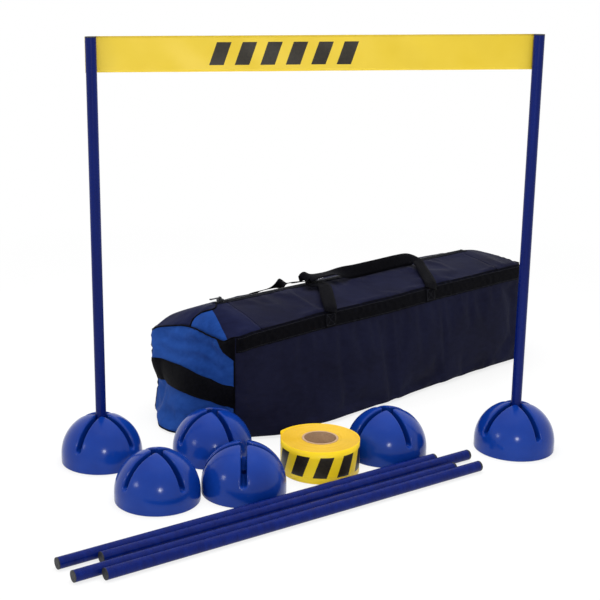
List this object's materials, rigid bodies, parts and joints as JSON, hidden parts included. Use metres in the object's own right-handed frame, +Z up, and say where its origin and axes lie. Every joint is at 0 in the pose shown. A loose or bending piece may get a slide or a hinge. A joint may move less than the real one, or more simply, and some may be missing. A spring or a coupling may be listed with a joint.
{
  "type": "portable court net set",
  "caption": "Portable court divider: a wide tape stretched between poles on domed slotted bases, with spare bases and poles, a roll of tape and a zipped holdall.",
  "frame": {"origin": "on the floor under the pole socket of the left standing base", "axes": "+X along the stretched tape to the right standing base, +Y from the front to the back, +Z up"},
  "size_m": [1.3047, 1.5703, 1.0063],
  "materials": {
    "moulding": "gloss",
    "tube": "satin gloss",
    "plug": "matt",
    "tape": "satin",
    "card": "card",
    "fabric_navy": "coated weave",
    "fabric_blue": "coated weave",
    "webbing": "woven webbing",
    "zip": "zip tape and coil",
    "zip_metal": "enamelled"
  },
  "bodies": {
    "standing_bases": {"left_base": "moulding", "right_base": "moulding"},
    "net": {"left_post": "tube", "left_post_plugs": "plug", "right_post": "tube", "right_post_plugs": "plug", "net_tape": "tape", "left_tape_end": "tape", "right_tape_end": "tape"},
    "spare_base_1": {"spare_base_1": "moulding"},
    "spare_base_2": {"spare_base_2": "moulding"},
    "spare_base_3": {"spare_base_3": "moulding"},
    "spare_base_4": {"spare_base_4": "moulding"},
    "spare_pole_1": {"spare_pole_1": "tube", "spare_pole_1_plugs": "plug"},
    "spare_pole_2": {"spare_pole_2": "tube", "spare_pole_2_plugs": "plug"},
    "spare_pole_3": {"spare_pole_3": "tube", "spare_pole_3_plugs": "plug"},
    "spare_pole_4": {"spare_pole_4": "tube", "spare_pole_4_plugs": "plug"},
    "roll": {"tape_roll": "tape", "roll_core": "card"},
    "bag": {"bag_base": "fabric_navy", "bag_front": "fabric_navy", "bag_back": "fabric_navy", "bag_left_end": "fabric_blue", "bag_right_end": "fabric_blue", "front_band": "webbing", "back_band": "webbing", "left_grab_strap": "webbing", "right_grab_strap": "webbing", "zip_ends": "zip"},
    "front_flap": {"bag_front_flap": "fabric_navy", "front_zip": "zip"},
    "back_flap": {"bag_back_flap": "fabric_navy", "back_zip": "zip"},
    "front_handle": {"front_handle": "webbing"},
    "back_handle": {"back_handle": "webbing"},
    "slider": {"zip_slider": "zip_metal"},
    "pull": {"zip_pull": "zip_metal"}
  },
  "joints": [
    {"name": "net_lift", "type": "slide", "parent": "standing_bases", "child": "net", "axis": [0, 0, 1], "range_m": [0, 0.13]},
    {"name": "spare_base_1_lift", "type": "slide", "parent": "standing_bases", "child": "spare_base_1", "axis": [0, 0, 1], "range_m": [0, 0.15]},
    {"name": "spare_base_2_lift", "type": "slide", "parent": "standing_bases", "child": "spare_base_2", "axis": [0, 0, 1], "range_m": [0, 0.15]},
    {"name": "spare_base_3_lift", "type": "slide", "parent": "standing_bases", "child": "spare_base_3", "axis": [0, 0, 1], "range_m": [0, 0.15]},
    {"name": "spare_base_4_lift", "type": "slide", "parent": "standing_bases", "child": "spare_base_4", "axis": [0, 0, 1], "range_m": [0, 0.15]},
    {"name": "spare_pole_1_lift", "type": "slide", "parent": "standing_bases", "child": "spare_pole_1", "axis": [0, 0, 1], "range_m": [0, 0.15]},
    {"name": "spare_pole_2_lift", "type": "slide", "parent": "standing_bases", "child": "spare_pole_2", "axis": [0, 0, 1], "range_m": [0, 0.15]},
    {"name": "spare_pole_3_lift", "type": "slide", "parent": "standing_bases", "child": "spare_pole_3", "axis": [0, 0, 1], "range_m": [0, 0.15]},
    {"name": "spare_pole_4_lift", "type": "slide", "parent": "standing_bases", "child": "spare_pole_4", "axis": [0, 0, 1], "range_m": [0, 0.15]},
    {"name": "roll_turn", "type": "hinge", "parent": "standing_bases", "child": "roll", "pos_m": [0.5165, -0.099, 0], "axis": [0, 0, 1], "continuous": true},
    {"name": "bag_lift", "type": "slide", "parent": "standing_bases", "child": "bag", "axis": [0, 0, 1], "range_m": [0, 0.3]},
    {"name": "front_flap_hinge", "type": "hinge", "parent": "bag", "child": "front_flap", "pos_m": [0.77621, 0.38384, 0.284], "axis": [0.8261, 0.5635, 0], "range_deg": [0, 95]},
    {"name": "front_handle_swing", "type": "hinge", "parent": "front_flap", "child": "front_handle", "pos_m": [0.77621, 0.38384, 0.284], "axis": [0.8261, 0.5635, 0], "range_deg": [0, 120]},
    {"name": "back_flap_hinge", "type": "hinge", "parent": "bag", "child": "back_flap", "pos_m": [0.59419, 0.65067, 0.284], "axis": [-0.8261, -0.5635, 0], "range_deg": [0, 95]},
    {"name": "back_handle_swing", "type": "hinge", "parent": "back_flap", "child": "back_handle", "pos_m": [0.59419, 0.65067, 0.284], "axis": [-0.8261, -0.5635, 0], "range_deg": [0, 120]},
    {"name": "zip_travel", "type": "slide", "parent": "bag", "child": "slider", "axis": [0.8261, 0.5635, 0], "range_m": [0, 0.91828]},
    {"name": "pull_swing", "type": "hinge", "parent": "slider", "child": "pull", "pos_m": [0.3059, 0.25852, 0.3301], "axis": [-0.5635, 0.8261, 0], "range_deg": [0, 165]}
  ]
}
